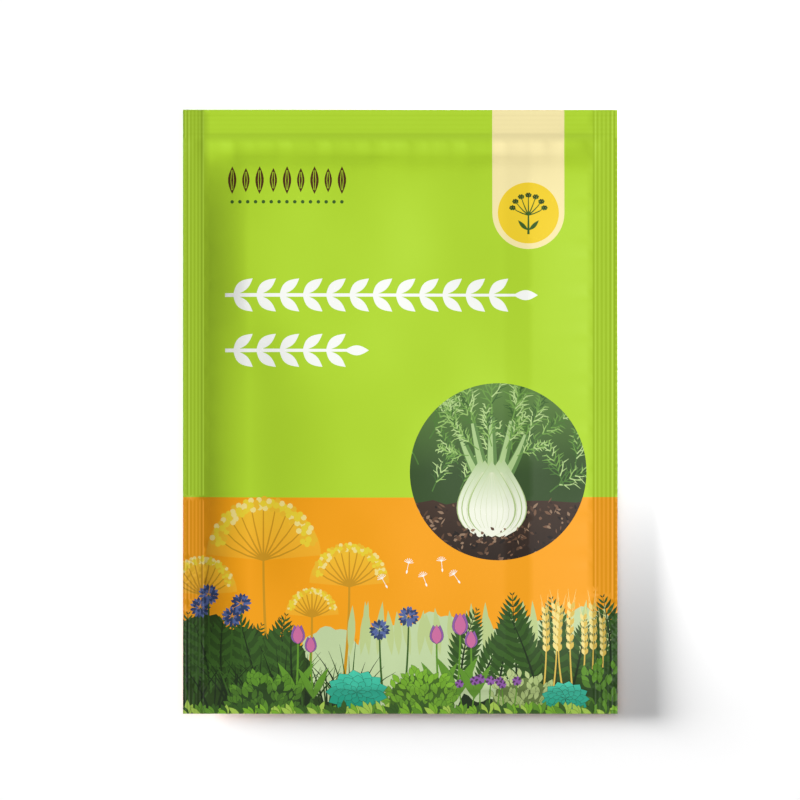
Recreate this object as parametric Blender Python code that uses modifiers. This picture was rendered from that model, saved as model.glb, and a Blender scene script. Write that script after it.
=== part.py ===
"""Seed packet: two printed film webs heat-sealed on all four sides round a heap of fennel seeds.

The packet lies on its back. X runs across its width, Y up its height and Z through its thickness. The origin is
on the surface that it lies on, under the middle of the packet. Lengths are in metres.
"""

import math
import random

import bmesh
import bpy
from mathutils import Matrix, Vector

MM = 0.001

# Driving sizes of the packet
WIDTH = 100 * MM
HEIGHT = 139 * MM
SEAL_LEFT = 4.9 * MM
SEAL_RIGHT = 5.8 * MM
SEAL_TOP = 6.4 * MM
SEAL_BOTTOM = 5.6 * MM
FILM = 0.2 * MM
SEAL_GAP = 0.3 * MM
FRONT_BULGE = 3.1 * MM
BACK_BULGE = 2.45 * MM

# The ramps that lift the pillow inside each seal. Each ramp gives a share of the full height, and has the distance
# inside the seal where it starts, its length, and how round it is: 1 is straight
FRONT_SLOPES = {
    "left": ((1, 0, 10.2 * MM, 1.8),),
    "right": ((0.61, 0, 14.8 * MM, 1.1), (0.39, 20 * MM, 45 * MM, 2.2)),
    "top": ((1, 1.5 * MM, 46 * MM, 5),),
    "bottom": ((1, 0.8 * MM, 16 * MM, 2.2),),
}
BACK_SLOPES = {side: ((1, 0, 14 * MM, 2.4),) for side in FRONT_SLOPES}
SLOPE_LINES = 5
LONGEST_SLOPE_LINES = 22 * MM
PLATEAU_STEP = 5.5 * MM

# The front web lies higher over the heap of seeds: how much, where, and how far that reaches across and up
LIFT = 2.2 * MM
LIFT_CENTRE = (-8.2 * MM, -11.3 * MM)
LIFT_REACH = (28.5 * MM, 23.6 * MM)

# Film that isn't full is creased: each crease is a shallow trough between two points, with a depth and a
# half-width. A depth below zero is a soft ridge
CREASES = (
    ((-33 * MM, 49.5 * MM), (-28.5 * MM, 16 * MM), -0.8 * MM, 12 * MM),
    ((16 * MM, 34 * MM), (38 * MM, -7 * MM), 0.8 * MM, 12 * MM),
    ((-35.5 * MM, 11 * MM), (-34 * MM, -33 * MM), 0.8 * MM, 8.2 * MM),
    ((9.3 * MM, 61.4 * MM), (6 * MM, 16 * MM), 0.8 * MM, 12 * MM),
    ((-16 * MM, -61 * MM), (28 * MM, -60 * MM), 0.45 * MM, 4.5 * MM),
)

# The ribs that the sealing jaws press along every edge
RIBS = 6
RIB_DEPTH = 0.09 * MM

# The seeds and the heap that they lie in
SEEDS = 150
SEED_LENGTHS = (5.4 * MM, 7.4 * MM)
SEED_WIDTHS = (1.9 * MM, 2.4 * MM)
SEED_SIDES = 5
SEED_BANDS = 4
SEED_BOW = 0.12
SEED_TILT = math.radians(16)
HEAP_CENTRE = Vector((-9 * MM, -22 * MM, 2.7 * MM))
HEAP_RADII = Vector((15 * MM, 21 * MM, 1.1 * MM))
HEAP_SIDES = 16
HEAP_BANDS = 6
HEAP_FLOOR = FILM + 0.3 * MM
RANDOM_SEED = 11

LEFT, RIGHT = -WIDTH / 2, WIDTH / 2
BOTTOM, TOP = -HEIGHT / 2, HEIGHT / 2
INNER_LEFT, INNER_RIGHT = LEFT + SEAL_LEFT, RIGHT - SEAL_RIGHT
INNER_BOTTOM, INNER_TOP = BOTTOM + SEAL_BOTTOM, TOP - SEAL_TOP
BACK_SEAL_Z = BACK_BULGE
FRONT_SEAL_Z = BACK_SEAL_Z + FILM + SEAL_GAP + FILM

MERGE = 1e-6
FLAT_ANGLE = math.radians(0.02)


def clear_scene():
    """Removes the objects that a new Blender file starts with."""
    for obj in list(bpy.data.objects):
        bpy.data.objects.remove(obj, do_unlink=True)


def new_collection(name):
    collection = bpy.data.collections.new(name)
    bpy.context.scene.collection.children.link(collection)
    return collection


def new_material(name, colour, roughness):
    material = bpy.data.materials.new(name)
    material.use_nodes = True
    shader = material.node_tree.nodes["Principled BSDF"]
    shader.inputs["Base Color"].default_value = (*colour, 1)
    shader.inputs["Roughness"].default_value = roughness
    shader.inputs["Metallic"].default_value = 0
    material.diffuse_color = (*colour, 1)
    return material


def rib_lines(outer, inner):
    """The lines of one seal, from the packet's edge to the pillow: a valley and a ridge for each rib."""
    steps = 2 * RIBS
    return [outer + (inner - outer) * k / steps for k in range(steps + 1)]


def slope_lines(inner, slopes, inward):
    """Lines over the first ramp of the pillow, closer together near the seal, where it bends most."""
    _, start, length, _ = slopes[0]
    reach = min(start + length, LONGEST_SLOPE_LINES) * inward
    return [inner + reach * (k / SLOPE_LINES) ** 1.4 for k in range(1, SLOPE_LINES + 1)]


def grid_lines(low, inner_low, inner_high, high, slopes_low, slopes_high):
    """All the lines across the packet in one direction, from its low edge to its high one."""
    rising = rib_lines(low, inner_low) + slope_lines(inner_low, slopes_low, 1)
    falling = rib_lines(high, inner_high) + slope_lines(inner_high, slopes_high, -1)
    across = falling[-1] - rising[-1]
    steps = max(1, round(across / PLATEAU_STEP))
    plateau = [rising[-1] + across * k / steps for k in range(1, steps)]
    return rising + plateau + falling[::-1]


def slope_share(distance, slopes):
    """How much of its full height the pillow has at this distance inside a seal: 0 at the seal, 1 past its ramps."""
    height = 0
    for part, start, length, power in slopes:
        share = min(max((distance - start) / length, 0), 1)
        height += part * (1 - (1 - share) ** power)
    return height


def pillow_share(x, y, slopes):
    """How much of its full height the pillow has at (x, y), from all four seals together."""
    return (
        slope_share(x - INNER_LEFT, slopes["left"])
        * slope_share(INNER_RIGHT - x, slopes["right"])
        * slope_share(INNER_TOP - y, slopes["top"])
        * slope_share(y - INNER_BOTTOM, slopes["bottom"])
    )


def crease_depth(x, y):
    """How deep the creases of the front web are at (x, y)."""
    depth = 0
    for (x1, y1), (x2, y2), deepest, half_width in CREASES:
        run = Vector((x2 - x1, y2 - y1))
        along = min(max((Vector((x - x1, y - y1)) @ run) / run.length_squared, 0), 1)
        away = (Vector((x - x1, y - y1)) - along * run).length
        depth += deepest * math.exp(-((away / half_width) ** 2))
    return depth


def front_height(x, y):
    """How far the front web stands above its seals at (x, y)."""
    across, up = (x - LIFT_CENTRE[0]) / LIFT_REACH[0], (y - LIFT_CENTRE[1]) / LIFT_REACH[1]
    lift = LIFT * math.exp(-across * across - up * up)
    return pillow_share(x, y, FRONT_SLOPES) * (FRONT_BULGE + lift - crease_depth(x, y))


def back_height(x, y):
    """How far the back web stands above its seals at (x, y): below them, and flat where the packet lies on it."""
    return -BACK_BULGE * pillow_share(x, y, BACK_SLOPES)


def rib_wave(outward, seal):
    """The ribs' height across one seal: a zigzag of RIBS ridges, level with the seal's plane at both its sides."""
    if outward <= 0 or outward >= seal:
        return 0
    phase = outward / seal * RIBS % 1
    return RIB_DEPTH * (1 - abs(2 * phase - 1))


def rib_height(x, y):
    """The height of the pressed ribs at (x, y). In the corners the two sets of ribs cross."""
    height = rib_wave(INNER_LEFT - x, SEAL_LEFT) + rib_wave(x - INNER_RIGHT, SEAL_RIGHT)
    return height + rib_wave(y - INNER_TOP, SEAL_TOP) + rib_wave(INNER_BOTTOM - y, SEAL_BOTTOM)


def make_web(name, collection, material, seal_z, height, slopes, faces_down=False):
    """One web of the packet: a sheet with ribbed edges and a pillow between them, given the film's thickness.

    The sheet itself is the web's outer face, and height gives how far it stands above its seals.
    """
    columns = grid_lines(LEFT, INNER_LEFT, INNER_RIGHT, RIGHT, slopes["left"], slopes["right"])
    rows = grid_lines(BOTTOM, INNER_BOTTOM, INNER_TOP, TOP, slopes["bottom"], slopes["top"])
    mesh = bpy.data.meshes.new(name)
    sheet = bmesh.new()
    bmesh.ops.create_grid(sheet, x_segments=len(columns) - 1, y_segments=len(rows) - 1, size=1)
    for vertex in sheet.verts:
        x = columns[round((vertex.co.x + 1) / 2 * (len(columns) - 1))]
        y = rows[round((vertex.co.y + 1) / 2 * (len(rows) - 1))]
        vertex.co = (x, y, seal_z + height(x, y) + rib_height(x, y))
    if faces_down:
        bmesh.ops.reverse_faces(sheet, faces=sheet.faces)
    sheet.to_mesh(mesh)
    sheet.free()
    mesh.materials.append(material)
    web = bpy.data.objects.new(name, mesh)
    collection.objects.link(web)
    wall = web.modifiers.new("film thickness", "SOLIDIFY")
    wall.thickness = FILM
    wall.offset = -1
    flats = web.modifiers.new("join the flat faces", "DECIMATE")
    flats.decimate_type = "DISSOLVE"
    flats.angle_limit = FLAT_ANGLE
    return web


def seed_mesh(length, width):
    """A fennel seed lying along X: a slim body with pointed ends, bowed a little."""
    mesh = bpy.data.meshes.new("seed")
    body = bmesh.new()
    bmesh.ops.create_uvsphere(body, u_segments=SEED_SIDES, v_segments=SEED_BANDS, radius=1)
    bmesh.ops.rotate(body, verts=body.verts, matrix=Matrix.Rotation(math.pi / 2, 3, "Y"))
    for vertex in body.verts:
        x, y, z = vertex.co
        bow = SEED_BOW * length * (1 - x * x)
        vertex.co = (x * length / 2, y * width / 2 + bow, z * width / 2)
    body.to_mesh(mesh)
    body.free()
    return mesh


def heap_spots():
    """Where the seeds lie: (point on the heap, way out of it) along a sunflower spiral over both of its faces."""
    golden_turn = math.pi * (3 - math.sqrt(5))
    for k in range(SEEDS):
        level = 1 - 2 * (k + 0.5) / SEEDS
        ring = math.sqrt(1 - abs(level))
        turn = golden_turn * k
        lift = math.copysign(math.sqrt(1 - ring * ring), level)
        out = Vector((ring * math.cos(turn), ring * math.sin(turn), lift))
        spot = Vector(r * o for r, o in zip(HEAP_RADII, out, strict=True))
        normal = Vector(o / r for r, o in zip(HEAP_RADII, out, strict=True)).normalized()
        yield spot, normal


def place_seeds(collection):
    """The seeds, each sunk a little in the heap's face and turned its own way."""
    draw = random.Random(RANDOM_SEED)
    for spot, normal in heap_spots():
        mesh = seed_mesh(draw.uniform(*SEED_LENGTHS), draw.uniform(*SEED_WIDTHS))
        seed = bpy.data.objects.new("seed", mesh)
        lying = Matrix.Rotation(draw.uniform(0, 2 * math.pi), 4, "Z")
        tilted = Matrix.Rotation(draw.uniform(-SEED_TILT, SEED_TILT), 4, "Y")
        leaning = Vector((0, 0, 1)).rotation_difference(normal).to_matrix().to_4x4()
        seed.matrix_world = Matrix.Translation(HEAP_CENTRE + spot) @ leaning @ lying @ tilted
        seed.hide_render = True
        collection.objects.link(seed)


def make_heap(name, collection, material):
    """The heap of loose seeds, joined in one body round a smaller core, resting just above the back web."""
    mesh = bpy.data.meshes.new(name)
    core = bmesh.new()
    bmesh.ops.create_uvsphere(core, u_segments=HEAP_SIDES, v_segments=HEAP_BANDS, radius=1)
    bmesh.ops.scale(core, verts=core.verts, vec=HEAP_RADII)
    bmesh.ops.translate(core, verts=core.verts, vec=HEAP_CENTRE)
    core.to_mesh(mesh)
    core.free()
    heap = bpy.data.objects.new(name, mesh)
    collection.objects.link(heap)

    loose = new_collection("loose seeds")
    place_seeds(loose)
    union = heap.modifiers.new("join the seeds", "BOOLEAN")
    union.operation = "UNION"
    union.operand_type = "COLLECTION"
    union.collection = loose
    union.solver = "EXACT"
    bpy.context.view_layer.update()
    graph = bpy.context.evaluated_depsgraph_get()
    joined = bpy.data.meshes.new_from_object(heap.evaluated_get(graph))
    heap.modifiers.clear()
    heap.data = joined
    heap.data.materials.clear()
    heap.data.materials.append(material)
    for seed in list(loose.objects):
        bpy.data.objects.remove(seed, do_unlink=True)
    bpy.data.collections.remove(loose)

    lowest = min(vertex.co.z for vertex in joined.vertices)
    joined.transform(Matrix.Translation((0, 0, HEAP_FLOOR - lowest)))
    return heap


def main():
    clear_scene()
    packet = new_collection("seed packet")
    print_ink = new_material("printed film, lime", (0.49, 0.76, 0.04), 0.4)
    back_ink = new_material("printed film, lime, back", (0.49, 0.76, 0.04), 0.4)
    seed_skin = new_material("fennel seed", (0.42, 0.36, 0.17), 0.65)
    make_web("front_web", packet, print_ink, FRONT_SEAL_Z, front_height, FRONT_SLOPES)
    make_web("back_web", packet, back_ink, BACK_SEAL_Z, back_height, BACK_SLOPES, faces_down=True)
    make_heap("seeds", packet, seed_skin)


main()
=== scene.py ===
"""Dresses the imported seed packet: the printed film of both sides, the seeds inside, and a pale studio.

The packet lies on its back, X across it, Y up it, Z out of its printed front. Objects are in metres. The
print is laid out flat in millimetres from the middle of the packet, and then lies on the film's own relief.
"""

import math
import random

import bmesh
import bpy
import numpy as np
from bpy.props import FloatProperty, FloatVectorProperty, PointerProperty
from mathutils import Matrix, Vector
from mathutils.bvhtree import BVHTree
from mathutils.geometry import delaunay_2d_cdt


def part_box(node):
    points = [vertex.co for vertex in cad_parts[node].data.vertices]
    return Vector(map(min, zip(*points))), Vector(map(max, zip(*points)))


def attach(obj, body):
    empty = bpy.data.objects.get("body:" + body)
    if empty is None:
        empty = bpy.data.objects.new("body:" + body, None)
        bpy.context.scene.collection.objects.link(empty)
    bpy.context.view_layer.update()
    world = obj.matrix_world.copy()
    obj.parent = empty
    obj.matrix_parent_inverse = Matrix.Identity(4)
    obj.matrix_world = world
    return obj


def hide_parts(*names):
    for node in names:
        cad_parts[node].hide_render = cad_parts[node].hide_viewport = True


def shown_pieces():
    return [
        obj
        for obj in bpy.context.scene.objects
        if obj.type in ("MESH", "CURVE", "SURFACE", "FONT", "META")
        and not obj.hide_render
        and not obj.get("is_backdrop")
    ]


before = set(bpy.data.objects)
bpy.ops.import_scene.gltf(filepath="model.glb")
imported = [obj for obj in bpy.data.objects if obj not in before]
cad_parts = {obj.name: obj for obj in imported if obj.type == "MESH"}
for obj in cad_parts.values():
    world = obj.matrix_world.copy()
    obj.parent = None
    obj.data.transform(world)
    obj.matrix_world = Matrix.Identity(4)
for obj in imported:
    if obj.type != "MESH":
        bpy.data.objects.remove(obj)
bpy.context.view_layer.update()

bl_info = {
    "name": "Seed Packet",
    "version": (1, 0, 0),
    "blender": (4, 5, 0),
    "location": "3D View > Sidebar > Packet",
    "description": "Prints, creases and fills a heat-sealed seed packet, and sets it in a pale studio",
    "category": "Object",
}

MM = 0.001
FRONT_LOW, FRONT_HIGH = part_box("front_web")

# The packet's outline in millimetres, read from the frame
WIDTH = (FRONT_HIGH[0] - FRONT_LOW[0]) / MM
HEIGHT = (FRONT_HIGH[1] - FRONT_LOW[1]) / MM
LEFT, RIGHT = -WIDTH / 2, WIDTH / 2
BOTTOM, TOP = -HEIGHT / 2, HEIGHT / 2

# The pillow's shape, in millimetres, as the solids have it
FILM = 0.2
SEAL_GAP = 0.3
SEAL_LEFT, SEAL_RIGHT, SEAL_TOP, SEAL_BOTTOM = 4.9, 5.8, 6.4, 5.6
FRONT_BULGE, BACK_BULGE = 3.1, 2.45
FRONT_SLOPES = {
    "left": ((1, 0, 10.2, 1.8),),
    "right": ((0.61, 0, 14.8, 1.1), (0.39, 20, 45, 2.2)),
    "top": ((1, 1.5, 46, 5),),
    "bottom": ((1, 0.8, 16, 2.2),),
}
BACK_SLOPES = {side: ((1, 0, 14, 2.4),) for side in FRONT_SLOPES}
LIFT, LIFT_CENTRE, LIFT_REACH = 2.2, (-8.2, -11.3), (28.5, 23.6)
CREASES = (
    ((-33, 49.5), (-28.5, 16), -0.8, 12),
    ((16, 34), (38, -7), 0.8, 12),
    ((-35.5, 11), (-34, -33), 0.8, 8.2),
    ((9.3, 61.4), (6, 16), 0.8, 12),
    ((-16, -61), (28, -60), 0.45, 4.5),
)

# The ribs of each seal: how many, their even share of the full depth, and what they gain round two places.
# Each gain has its place and its reach, as shares of the seal's width.
RIBS = 6
RIB_SHARE = 0.35
RIB_GAINS = ((0.55, 0.85, 0.16), (0.3, 0.12, 0.1))

# The shallow fold along the inside of the top seal: its depth, its place below the seal and its half-width,
# the waves in that half-width with their share, pitch and shift, and how far it takes to end at the sides
FOLD, FOLD_PLACE, FOLD_REACH = 0.72, 3.6, 2.3
FOLD_WAVES = ((0.12, 5.3, 0), (0.08, 2.1, 1))
FOLD_END = 6

# The small puckers beside the seals: how far inside they set in and fade, and their waves, each with its
# share, its pitch and how many times it takes its seal's own shift
PUCKER_START, PUCKER_FADE = 1.2, 3.2
PUCKER_WAVES = ((1, 1.27, 1), (0.7, 0.71, 2))

# The soft waves of the pillow: how many, and their least and greatest pitch
SWAYS, SWAY_PITCHES = 9, (2.6, 6.5)

# Painted shade on the seals: how bright the ink is painted in each seal, darker on the sides that face away
# from the key light, and how much darker a painted line of shade along each seal's inner crease is. The
# painted shade changes over some way there, and the line has its place and reach.
PAINTED_SEAL_BRIGHTNESS = {"left": 0.75, "right": 0.88, "top": 0.985, "bottom": 0.88}
PAINTED_CREASE_SHADES = {"left": 0.12, "right": 0.0, "top": 0.13, "bottom": 0.1}
PAINTED_SHADE_CHANGE, CREASE_SHADE_PLACE, CREASE_SHADE_REACH = 0.8, 0.35, 0.75

# The inner edges of the seals, and how high the two webs' faces are there
INNER_LEFT, INNER_RIGHT = LEFT + SEAL_LEFT, RIGHT - SEAL_RIGHT
INNER_BOTTOM, INNER_TOP = BOTTOM + SEAL_BOTTOM, TOP - SEAL_TOP
BACK_SEAL_Z = BACK_BULGE
FRONT_SEAL_Z = BACK_SEAL_Z + FILM + SEAL_GAP + FILM

# How closely the film's mesh follows its relief, in millimetres or in steps across a seal
RIB_STEPS = 24
INNER_STEPS = 6
PILLOW_STEP = 1.5
SLOPE_STEP = 0.02
EDGE_MARGIN = 0.1
MERGE_MM = 1e-4

# Where the print and the plain rest of a web lie in its unwrapped square: the low end and the length of each
UV_UP, UV_PRINT, UV_PLAIN = (0.01, 0.98), (0.01, 0.94), (0.965, 0.03)

# Where the lime field ends and the orange one starts, in millimetres
HORIZON = -19.64

# The suns of the studio, each with the way it shines from and how wide it looks in degrees
KEY_SUN = ((0.85, -0.15, 0.78), 30)
TOP_SUN = ((0, 0.1, 1), 60)
LOW_SUN = ((-0.97, 0.2, 0.125), 26)

# The spot's place and aim in metres, its width in degrees and its radius in metres
SPOT_PLACE, SPOT_AIM, SPOT_WIDTH, SPOT_RADIUS = (0.12, 0.06, 0.6), (0.08, 0.05, 0), 18, 0.05

# The point under the camera and the camera's sensor in millimetres, and half the floor's side in metres
CAMERA_OVER = (-0.06, 2.71)
SENSOR = 36
FLOOR_HALF = 4


def srgb(red, green, blue):
    """A colour from 0 to 255, as screens give it, as the linear colour that the renderer works in."""
    shares = np.array([red, green, blue]) / 255
    linear = np.where(shares <= 0.04045, shares / 12.92, ((shares + 0.055) / 1.055) ** 2.4)
    return tuple(float(share) for share in linear)


PLAIN_FILM = srgb(232, 234, 228)



class PACKET_PG_film(bpy.types.PropertyGroup):
    """Sizes of the film's relief."""

    rib_depth: FloatProperty(
        name="Rib depth",
        description="Height of the ribs pressed in the seals",
        default=0.085 * MM,
        unit="LENGTH",
    )
    ripple: FloatProperty(
        name="Ripple",
        description="Height of the small puckers beside the seals",
        default=0.07 * MM,
        unit="LENGTH",
    )
    sway: FloatProperty(
        name="Sway", description="Height of the soft waves in the film", default=0.11 * MM, unit="LENGTH"
    )
    roughness: FloatProperty(
        name="Roughness", description="How dull the printed film is", default=0.45, subtype="FACTOR"
    )


class PACKET_PG_inks(bpy.types.PropertyGroup):
    """The inks of the large printed areas."""

    lime: FloatVectorProperty(
        name="Lime",
        description="Ink of the upper field",
        default=srgb(180, 220, 46),
        size=3,
        subtype="COLOR",
    )
    orange: FloatVectorProperty(
        name="Orange",
        description="Ink of the lower band",
        default=srgb(249, 165, 12),
        size=3,
        subtype="COLOR",
    )
    cream: FloatVectorProperty(
        name="Cream",
        description="Ink of the tab",
        default=srgb(252, 237, 175),
        size=3,
        subtype="COLOR",
    )
    yellow: FloatVectorProperty(
        name="Yellow",
        description="Ink of the tab's disc",
        default=srgb(246, 212, 42),
        size=3,
        subtype="COLOR",
    )
    white: FloatVectorProperty(
        name="White",
        description="Ink of the ornaments",
        default=srgb(253, 255, 250),
        size=3,
        subtype="COLOR",
    )


class PACKET_PG_stage(bpy.types.PropertyGroup):
    """The camera and the light of the studio."""

    field: FloatProperty(
        name="Field", description="Width of what the camera sees", default=184.1 * MM, unit="LENGTH"
    )
    lens: FloatProperty(name="Lens", description="Focal length in millimetres", default=200)
    ambient: FloatProperty(
        name="Ambient", description="Strength of the even light all round", default=0.15
    )
    key: FloatProperty(name="Key", description="Strength of the light on the packet", default=3.68)
    floor_top: FloatProperty(
        name="Floor top light", description="Strength of the light straight down", default=0.8
    )
    floor_key: FloatProperty(
        name="Floor light", description="Strength of the low light on the floor", default=16.5
    )
    floor_fill: FloatProperty(
        name="Floor fill",
        description="Power in watts of the spot that lifts the floor by the right side",
        default=30,
    )


# The relief of the film


def slope_share(distance, slopes):
    """How much of its full height the pillow has at this distance inside a seal, from the ramps there."""
    share = 0
    for part, start, length, power in slopes:
        share = share + part * (1 - (1 - np.clip((distance - start) / length, 0, 1)) ** power)
    return share


def pillow_share(x, y, slopes):
    """How much of its full height the pillow has, from all four seals together."""
    return (
        slope_share(x - INNER_LEFT, slopes["left"])
        * slope_share(INNER_RIGHT - x, slopes["right"])
        * slope_share(INNER_TOP - y, slopes["top"])
        * slope_share(y - INNER_BOTTOM, slopes["bottom"])
    )


def crease_depth(x, y):
    """How deep the large creases of the front are."""
    depth = np.zeros_like(x)
    for (x1, y1), (x2, y2), deepest, half_width in CREASES:
        run_x, run_y = x2 - x1, y2 - y1
        along = np.clip(((x - x1) * run_x + (y - y1) * run_y) / (run_x**2 + run_y**2), 0, 1)
        away_squared = (x - x1 - along * run_x) ** 2 + (y - y1 - along * run_y) ** 2
        depth += deepest * np.exp(-away_squared / half_width**2)
    return depth


def fold_depth(x, y):
    """How deep the fold inside the top seal is. Its width wavers, and it ends towards the side seals."""
    below = np.clip(INNER_TOP - y, 0, None)
    waver = sum(share * np.sin(x / pitch + shift) for share, pitch, shift in FOLD_WAVES)
    reach = FOLD_REACH * (1 + waver)
    ends = np.clip((x - INNER_LEFT) / FOLD_END, 0, 1) * np.clip((INNER_RIGHT - x) / FOLD_END, 0, 1)
    return FOLD * ends * np.clip(below, 0, 1) * np.exp(-(((below - FOLD_PLACE) / reach) ** 2))


def rib_height(x, y, depth):
    """The ribs of the seals. They cross in the corners, where two seals lie over each other."""
    height = np.zeros_like(x)
    for outward, seal in (
        (INNER_LEFT - x, SEAL_LEFT),
        (x - INNER_RIGHT, SEAL_RIGHT),
        (y - INNER_TOP, SEAL_TOP),
        (INNER_BOTTOM - y, SEAL_BOTTOM),
    ):
        share = np.clip(outward / seal, 0, 1)
        firm = RIB_SHARE
        for gain, place, reach in RIB_GAINS:
            firm = firm + gain * np.exp(-(((share - place) / reach) ** 2))
        height += depth * firm * (1 - np.cos(2 * math.pi * share * RIBS)) / 2
    return height


def ripple_height(x, y, size):
    """Small puckers of the film just inside each seal, fading towards the middle of the pillow."""
    height = np.zeros_like(x)
    for inward, along, shift in (
        (x - INNER_LEFT, y, 0.4),
        (INNER_RIGHT - x, y, 2.1),
        (INNER_TOP - y, x, 4.4),
        (y - INNER_BOTTOM, x, 5.9),
    ):
        near = np.clip(inward / PUCKER_START, 0, 1) * np.exp(-np.clip(inward, 0, None) / PUCKER_FADE)
        waves = sum(share * np.sin(along / pitch + turns * shift) for share, pitch, turns in PUCKER_WAVES)
        height += size * near * waves
    return height


def sway_height(x, y, size):
    """Soft broad waves all over the pillow."""
    draw = random.Random(5)
    height = np.zeros_like(x)
    for _ in range(SWAYS):
        turn = draw.uniform(0, 2 * math.pi)
        pitch = draw.uniform(*SWAY_PITCHES)
        shift = draw.uniform(0, 2 * math.pi)
        height += np.sin((x * math.cos(turn) + y * math.sin(turn)) / pitch + shift) * pitch / 6
    return size * height / 2


def front_relief(x, y):
    """The height of the front's printed face over the surface that the packet lies on."""
    film = bpy.context.scene.packet_film
    share = pillow_share(x, y, FRONT_SLOPES)
    away_squared = ((x - LIFT_CENTRE[0]) / LIFT_REACH[0]) ** 2 + ((y - LIFT_CENTRE[1]) / LIFT_REACH[1]) ** 2
    lift = LIFT * np.exp(-away_squared)
    pillow = share * (FRONT_BULGE + lift - crease_depth(x, y) + sway_height(x, y, film.sway / MM))
    pressed = rib_height(x, y, film.rib_depth / MM) + ripple_height(x, y, film.ripple / MM)
    return FRONT_SEAL_Z + pillow + pressed - fold_depth(x, y)


def back_relief(x, y):
    """The height of the back's printed face, which is flat where the packet lies on it."""
    film = bpy.context.scene.packet_film
    share = pillow_share(x, y, BACK_SLOPES)
    ripples = ripple_height(x, y, film.ripple / MM) * (1 - share)
    return BACK_SEAL_Z - BACK_BULGE * share + rib_height(x, y, film.rib_depth / MM) + ripples


# Flat outlines of the print, all turning anticlockwise


def ring(centre, radius, sides=32):
    """A round outline."""
    turns = [2 * math.pi * k / sides for k in range(sides)]
    return [(centre[0] + radius * math.cos(turn), centre[1] + radius * math.sin(turn)) for turn in turns]


def placed(outline, base, turn):
    """An outline turned about its origin and moved to its base."""
    cosine, sine = math.cos(turn), math.sin(turn)
    return [(base[0] + x * cosine - y * sine, base[1] + x * sine + y * cosine) for x, y in outline]


def leaf(base, length, width, turn, bend=0.0, belly=0.5, steps=5):
    """A pointed leaf from its base: widest at belly along its length, and bent sideways by a share of it."""
    lower, upper = [], []
    for k in range(steps + 1):
        along = k / steps
        fat = math.sin(math.pi * along ** (math.log(0.5) / math.log(belly))) * width / 2
        mid = bend * length * along**2
        lower.append((along * length, mid - fat))
        upper.append((along * length, mid + fat))
    return placed(lower + upper[-2:0:-1], base, turn)


def stroke(path, start, end):
    """A ribbon along a path, tapering from its width at the start to its width at the end."""
    left, right = [], []
    last = len(path) - 1
    for k, point in enumerate(path):
        ahead, behind = path[min(k + 1, last)], path[max(k - 1, 0)]
        run = Vector((ahead[0] - behind[0], ahead[1] - behind[1])).normalized()
        half = (start + (end - start) * k / last) / 2
        left.append((point[0] - run.y * half, point[1] + run.x * half))
        right.append((point[0] + run.y * half, point[1] - run.x * half))
    return right + left[::-1]


def arc(base, length, turn, curl, steps=6):
    """A stem's path: it starts out at turn and has turned by curl at its tip."""
    points = [base]
    for k in range(steps):
        way = turn + curl * (k + 0.5) / steps
        x, y = points[-1]
        points.append((x + length / steps * math.cos(way), y + length / steps * math.sin(way)))
    return points


def lobed(centre, across, up, lobes, depth, sides=40):
    """A round outline with lobes, such as a bush's or a cloud's."""
    points = []
    for k in range(sides):
        turn = 2 * math.pi * k / sides
        reach = 1 + depth * abs(math.sin(lobes * turn / 2))
        points.append((centre[0] + across * reach * math.cos(turn), centre[1] + up * reach * math.sin(turn)))
    return points


def rounded(half_width, low, high, corner, grow):
    """The outline of an upright panel with round corners, moved outwards by grow."""
    side, below, above = half_width - corner, low + corner, high - corner
    radius = corner + grow
    outline = []
    for k, middle in enumerate(((side, above), (-side, above), (-side, below), (side, below))):
        for j in range(9):
            turn = math.pi / 2 * (k + j / 8)
            outline.append((middle[0] + radius * math.cos(turn), middle[1] + radius * math.sin(turn)))
    return outline


def mixed(first, second, share):
    """A colour between two."""
    return tuple(a + (b - a) * share for a, b in zip(first, second, strict=True))


class Artwork:
    """Outlines in the order that they are printed, each with its ink and the window it shows in, if any.

    An ink runs evenly from one colour to another between two points.
    """

    def __init__(self):
        self.outlines = []
        self.inks = []
        self.windows = []
        self.window = -1

    def add(self, outline, colour, to_colour=None, start=(0, 0), end=(0, 1)):
        """Prints one outline over what is there already, and says which it is."""
        self.outlines.append(outline)
        self.inks.append((*colour, *(to_colour or colour), *start, end[0] - start[0], end[1] - start[1]))
        self.windows.append(self.window)
        return len(self.outlines) - 1


# The plants that the print shows, each a motif of its own


def add_edged(art, outline, colour, edge_colour, edge=0.1, **gradient):
    """Prints an outline with a thin darker rim round it, as drawn plants have."""
    middle_x = sum(x for x, _ in outline) / len(outline)
    middle_y = sum(y for _, y in outline) / len(outline)
    rim = []
    for x, y in outline:
        away = math.hypot(x - middle_x, y - middle_y) or 1
        rim.append((x + (x - middle_x) / away * edge, y + (y - middle_y) / away * edge))
    art.add(rim, edge_colour)
    art.add(outline, colour, **gradient)


def add_grass(art, base, height, spread, blades, colours, draw):
    """A tuft of curved blades that fan out from one spot."""
    for k in range(blades):
        lean = (k / max(blades - 1, 1) - 0.5) * spread + draw.uniform(-0.1, 0.1)
        reach = height * draw.uniform(0.7, 1.05)
        path = arc((base[0] + lean * 1.5, base[1]), reach, math.pi / 2 - lean * 0.5, -lean * 0.9, 5)
        art.add(stroke(path, draw.uniform(0.55, 0.8), 0.06), draw.choice(colours))


def add_frond(art, base, length, turn, curl, pairs, colour, rib):
    """A fern's frond: a curved rib with leaflets in pairs that get shorter towards its tip."""
    path = arc(base, length, turn, curl, pairs)
    for k in range(1, pairs + 1):
        share = k / pairs
        size = length * 0.27 * math.sin(math.pi * (0.16 + 0.8 * share)) + 0.25
        way = turn + curl * share
        for side in (1, -1):
            out = way + side * (1.15 - 0.35 * share)
            leaflet = leaf(path[k], size, 0.24 * size + 0.1, out, -side * 0.15, 0.4, 4)
            art.add(leaflet, mixed(colour, rib, (0.0, 0.45)[k % 2]))
    art.add(stroke(path, 0.6, 0.1), rib)


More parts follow.
